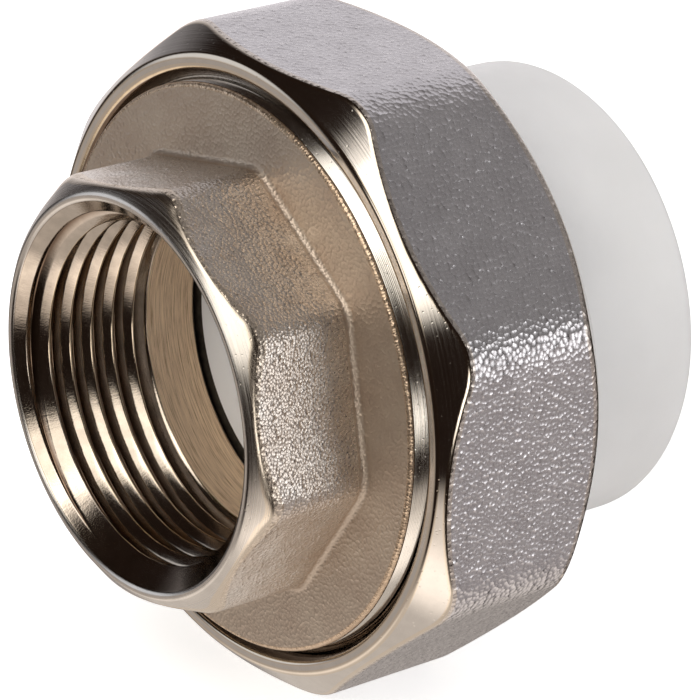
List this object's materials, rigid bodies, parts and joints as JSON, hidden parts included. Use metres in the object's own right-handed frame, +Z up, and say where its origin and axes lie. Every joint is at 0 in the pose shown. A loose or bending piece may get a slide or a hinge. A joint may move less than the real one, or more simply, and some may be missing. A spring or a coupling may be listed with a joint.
{
  "type": "union fitting",
  "caption": "Pipe union with a female-threaded octagonal metal tail, an octagonal union nut, an O-ring and a white plastic socket for welding in a plastic pipe.",
  "frame": {"origin": "bottom centre of the box around the fitting, which lies on one flat of the union nut with the flow axis level, 23 mm up", "axes": "+Y along the flow axis, from the threaded mouth to the pipe socket; +Z up, out of the nut's top flat"},
  "size_m": [0.046, 0.038, 0.046],
  "materials": {
    "tail_nickel": "nickel-plated brass, shot-blasted flats, turned faces",
    "nut_nickel": "nickel-plated brass, shot-blasted flats, turned chamfers",
    "o_ring_rubber": "matte black rubber",
    "socket_plastic": "smooth white moulded polypropylene"
  },
  "bodies": {
    "tail": {"threaded_tail": "tail_nickel"},
    "socket": {"pipe_socket": "socket_plastic", "o_ring": "o_ring_rubber"},
    "nut": {"union_nut": "nut_nickel"}
  },
  "joints": [
    {"name": "socket_draw", "type": "slide", "parent": "tail", "child": "socket", "axis": [0, 1, 0], "range_m": [0, 0.00376]},
    {"name": "nut_turn", "type": "hinge", "parent": "socket", "child": "nut", "pos_m": [0, -0.00215, 0.023], "axis": [0, 1, 0], "range_deg": [0, 900]}
  ],
  "couplings": [
    {"joint": "socket_draw", "follows": "nut_turn", "m_per_rad": 0.00023873}
  ]
}
